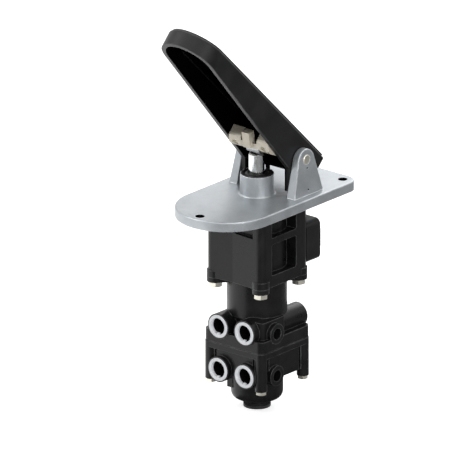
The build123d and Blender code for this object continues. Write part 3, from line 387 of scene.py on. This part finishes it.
finishes = {name: castFinish(name) for name in castings}
finishes.update({name: metalFinish(name) for name in metals})
finishes.update({name: plasticFinish(name) for name in plastics})
finishes["rubber"] = rubberFinish("rubber")
nodeSlot = {entry["node"]: entry["material_slot"] for entry in frame["record"]["subparts"]}
ownFinish = {"treadle": "treadle_paint"}  # a node here differs from its slot's finish
for nodeName, piece in nodes.items():
    piece.data.materials.clear()
    piece.data.materials.append(finishes[ownFinish.get(nodeName, nodeSlot[nodeName])])
print("finishes made:", len(finishes))

# What every modelled piece has in common
joining = {"weld": 0.000005, "smoothAngle": 35}


def makePiece(name, shape, finish, body, smoothAngle=joining["smoothAngle"], stands=()):
    bmesh.ops.remove_doubles(shape, verts=shape.verts, dist=joining["weld"])
    bmesh.ops.recalc_face_normals(shape, faces=shape.faces)
    for face in shape.faces:
        face.smooth = True
    for edge in shape.edges:
        if len(edge.link_faces) == 2 and edge.calc_face_angle(0) > math.radians(smoothAngle):
            edge.smooth = False
    mesh = bpy.data.meshes.new(name)
    shape.to_mesh(mesh)
    shape.free()
    mesh.materials.append(finishes[finish])
    piece = bpy.data.objects.new(name, mesh)
    bpy.context.scene.collection.objects.link(piece)
    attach(piece, body)
    if stands:
        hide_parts(*stands)


# A turned shape: a closed outline, given as radius and height, is spun round the upright axis
def turnedShape(outline, steps):
    shape = bmesh.new()
    points = [shape.verts.new((radius, 0, height)) for radius, height in outline]
    edges = [shape.edges.new(pair) for pair in zip(points, points[1:] + points[:1])]
    bmesh.ops.spin(
        shape, geom=points + edges, cent=(0, 0, 0), axis=(0, 0, 1), dvec=(0, 0, 0),
        angle=2 * math.pi, steps=steps, use_merge=True,
    )
    return shape


def tipShape(shape, angle):
    tip = Matrix.Rotation(math.radians(angle), 3, "Y")
    bmesh.ops.rotate(shape, verts=shape.verts, cent=(0, 0, 0), matrix=tip)


# Light ring round each port, with a small key at its foot
portInserts = ["upper_right_port_insert", "upper_left_port_insert", "lower_right_port_insert", "lower_left_port_insert"]
portRing = {
    "bore": 8.5 / 12, "steps": 96, "edge": 0.0008, "corner": 0.3,
    "keyWidth": 0.0028, "keyHeight": 0.0016, "keyDepth": 0.0026, "keyInset": 0.4,
}


def makePortRing(nodeName):
    low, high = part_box(nodeName)
    centre = (low + high) / 2
    outer = (high.z - low.z) / 2
    bore = outer * portRing["bore"]
    length = high.x - low.x
    edge = portRing["edge"]
    corner = edge * portRing["corner"]
    outline = [
        (bore, 0), (outer, 0), (outer, length - edge), (outer - corner, length - corner),
        (outer - edge, length), (bore + edge, length), (bore + corner, length - corner), (bore, length - edge),
    ]
    shape = turnedShape(outline, portRing["steps"])
    key = bmesh.ops.create_cube(shape, size=1)["verts"]
    size = (portRing["keyHeight"] * 2, portRing["keyWidth"], portRing["keyDepth"])  # half of it in the ring
    bmesh.ops.scale(shape, verts=key, vec=size)
    keyPlace = length - portRing["keyDepth"] / 2 - edge * portRing["keyInset"]
    bmesh.ops.translate(shape, verts=key, vec=(bore, 0, keyPlace))
    tipShape(shape, 90)  # the spin axis turns to +X, the key to the foot
    bmesh.ops.translate(shape, verts=shape.verts, vec=(low.x, centre.y, centre.z))
    ringName = nodeName.replace("_insert", "_ring")
    makePiece(ringName, shape, "port_ring", "valve", stands=[nodeName])


# Thread inside each port, black as the casting
portThread = {
    "radius": 0.0085, "height": 0.0006, "pitch": 0.0015, "turns": 6, "steps": 64, "start": 0.0008, "smoothAngle": 20,
}


def makePortThread(nodeName):
    low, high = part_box(nodeName)
    centre = (low + high) / 2
    radius, pitch = portThread["radius"], portThread["pitch"]
    outline = []
    for turn in range(portThread["turns"]):
        foot = turn * pitch
        outline += [(radius, foot), (radius - portThread["height"], foot + pitch / 2)]
    outline.append((radius, portThread["turns"] * pitch))
    shape = turnedShape(outline, portThread["steps"])
    tipShape(shape, -90)
    bmesh.ops.translate(shape, verts=shape.verts, vec=(low.x - portThread["start"], centre.y, centre.z))
    threadName = nodeName.replace("_insert", "_thread")
    makePiece(threadName, shape, "black_casting", "valve", smoothAngle=portThread["smoothAngle"])


for nodeName in portInserts:
    makePortRing(nodeName)
    makePortThread(nodeName)
print("port rings and threads made")

# Rubber boot in the collar's mouth: a scalloped outer lip, a groove, and a bead round the plunger.
# Its top is given as radius and drop, from the mouth inwards over the lip to the bore
boot = {
    "bore": 0.0088, "mouth": 0.0139, "steps": 192,
    "top": [
        (0.0139, 0.0011), (0.0164, 0.0012), (0.0168, 0.0007), (0.0165, 0.0002), (0.0159, 0.0), (0.0146, 0.0001),
        (0.0136, 0.0009), (0.0128, 0.0014), (0.0116, 0.0012), (0.0107, 0.0004), (0.0099, 0.0), (0.0092, 0.0002),
        (0.0088, 0.0008),
    ],
    "lobes": 16, "lobesFrom": 0.0142, "bite": 0.0006, "rise": 0.0005,
}


def makeBoot():
    low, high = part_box("plunger_boot")
    outline = [(boot["bore"], low.z), (boot["mouth"], low.z)]
    outline += [(radius, high.z - drop) for radius, drop in boot["top"]]
    shape = turnedShape(outline, boot["steps"])
    for vert in shape.verts:
        reach = math.hypot(vert.co.x, vert.co.y)
        if reach > boot["lobesFrom"]:
            wave = 0.5 - 0.5 * math.cos(boot["lobes"] * math.atan2(vert.co.y, vert.co.x))
            share = 1 - boot["bite"] * wave**2 / reach
            vert.co.x *= share
            vert.co.y *= share
            vert.co.z -= boot["rise"] * wave**2
    makePiece("scalloped_boot", shape, "rubber", "valve", stands=["plunger_boot"])


makeBoot()
print("boot made")

# Springs, each copied onto its body; what its moving seat travels is listed but not applied; the rubber one stands on
# the piston
springs = {
    "graduating_spring": {"body": "primary_piston", "joint": "plunger_slide", "shrink": 0.00822},
    "primary_return_spring": {"body": "valve", "joint": "primary_piston_slide", "shrink": 0.0031},
    "primary_valve_spring": {"body": "valve", "joint": "primary_valve_slide", "shrink": 0.0031},
    "relay_return_spring": {"body": "valve", "joint": "relay_piston_slide", "shrink": 0.0026},
    "relay_valve_spring": {"body": "valve", "joint": "relay_valve_slide", "shrink": 0.0026},
}


def makeSpring(nodeName):
    look = springs[nodeName]
    piece = bpy.data.objects.new(nodeName + "_working", nodes[nodeName].data.copy())
    bpy.context.scene.collection.objects.link(piece)
    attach(piece, look["body"])
    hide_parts(nodeName)
    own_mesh(piece)


for nodeName in springs:
    makeSpring(nodeName)
print("springs made")

# Studio: pale floor and backdrop, a key lamp high at the picture's left, a fill at its right, soft lamps
# above and behind, and two dark cards for the metal to mirror
studio = {
    "floorHeight": -0.2155, "floorSize": 8, "floorTone": 0.80, "floorGlow": 0.68, "room": 0.3, "dull": 0.9,
    "lamps": {
        "key": {"place": (0.85, -0.95, 0.85), "size": 0.7, "power": 7.5},
        "top": {"place": (0.1, 0.0, 1.5), "size": 2.0, "power": 14},
        "fill": {"place": (0.55, 1.35, 0.3), "size": 0.8, "power": 13},
        "back": {"place": (-1.2, -0.4, 0.8), "size": 0.9, "power": 6},
    },
    "cards": [
        {"place": (0.0, 0.95, 0.07), "width": 2.4, "height": 0.56, "tip": 90, "tone": 0.01},
        {"place": (-0.3, 0.585, -0.212), "width": 2.2, "height": 1.21, "tip": 0, "tone": 0.2},
    ],
}


def makeBackdrop(name, shape, finish):
    mesh = bpy.data.meshes.new(name)
    shape.to_mesh(mesh)
    shape.free()
    mesh.materials.append(finish.material)
    piece = bpy.data.objects.new(name, mesh)
    bpy.context.scene.collection.objects.link(piece)
    return piece


# The floor glows only where the camera, a mirror or glass sees it
def makeFloor():
    shape = bmesh.new()
    bmesh.ops.create_grid(shape, x_segments=2, y_segments=2, size=studio["floorSize"])
    bmesh.ops.translate(shape, verts=shape.verts, vec=(0, 0, studio["floorHeight"]))
    finish = Finish("floor")
    path = finish.tree.nodes.new("ShaderNodeLightPath")
    seen = [Wire(finish, path.outputs[kind]) for kind in ("Is Camera Ray", "Is Glossy Ray", "Is Transmission Ray")]
    glow = (seen[0] + seen[1] + seen[2]).clamped() * studio["floorGlow"]
    finish.set(Base_Color=(studio["floorTone"],) * 3, Roughness=studio["dull"])
    finish.set(Emission_Color=(1, 1, 1), Emission_Strength=glow)
    makeBackdrop("floor", shape, finish)


# The room is white where it is seen, and lights the object more weakly
def makeRoom():
    world = bpy.data.worlds.new("room")
    bpy.context.scene.world = world
    world.use_nodes = True
    tree = world.node_tree
    plain = tree.nodes["Background"]
    path = tree.nodes.new("ShaderNodeLightPath")
    seen = path.outputs["Is Camera Ray"]
    for kind in ("Is Glossy Ray", "Is Transmission Ray"):
        either = tree.nodes.new("ShaderNodeMath")
        either.operation = "MAXIMUM"
        tree.links.new(seen, either.inputs[0])
        tree.links.new(path.outputs[kind], either.inputs[1])
        seen = either.outputs[0]
    strength = tree.nodes.new("ShaderNodeMapRange")
    tree.links.new(seen, strength.inputs["Value"])
    strength.inputs["To Min"].default_value = studio["room"]
    plain.inputs["Color"].default_value = (1, 1, 1, 1)
    tree.links.new(strength.outputs[0], plain.inputs["Strength"])


def makeLamp(name):
    look = studio["lamps"][name]
    data = bpy.data.lights.new(name, "AREA")
    data.shape = "SQUARE"
    data.size = look["size"]
    data.energy = look["power"]
    lamp = bpy.data.objects.new(name, data)
    lamp.location = look["place"]
    lamp.rotation_mode = "QUATERNION"
    lamp.rotation_quaternion = (-Vector(look["place"])).to_track_quat("-Z", "Y")
    bpy.context.scene.collection.objects.link(lamp)


# A card is dark, and seen only in reflections
def makeCard(look, name):
    shape = bmesh.new()
    bmesh.ops.create_grid(shape, x_segments=1, y_segments=1, size=0.5)
    bmesh.ops.scale(shape, verts=shape.verts, vec=(look["width"], look["height"], 1))
    tip = Matrix.Rotation(math.radians(look["tip"]), 3, "X")
    bmesh.ops.rotate(shape, verts=shape.verts, cent=(0, 0, 0), matrix=tip)
    bmesh.ops.translate(shape, verts=shape.verts, vec=look["place"])
    finish = Finish(name)
    finish.set(Base_Color=(look["tone"],) * 3, Roughness=studio["dull"])
    card = makeBackdrop(name, shape, finish)
    card.visible_camera = False
    card.visible_shadow = False
    card.visible_diffuse = False


makeFloor()
makeRoom()
for index, look in enumerate(studio["cards"]):
    makeCard(look, f"card{index}")
for lampName in studio["lamps"]:
    makeLamp(lampName)
bpy.context.scene.view_settings.view_transform = "Standard"
print("studio made")
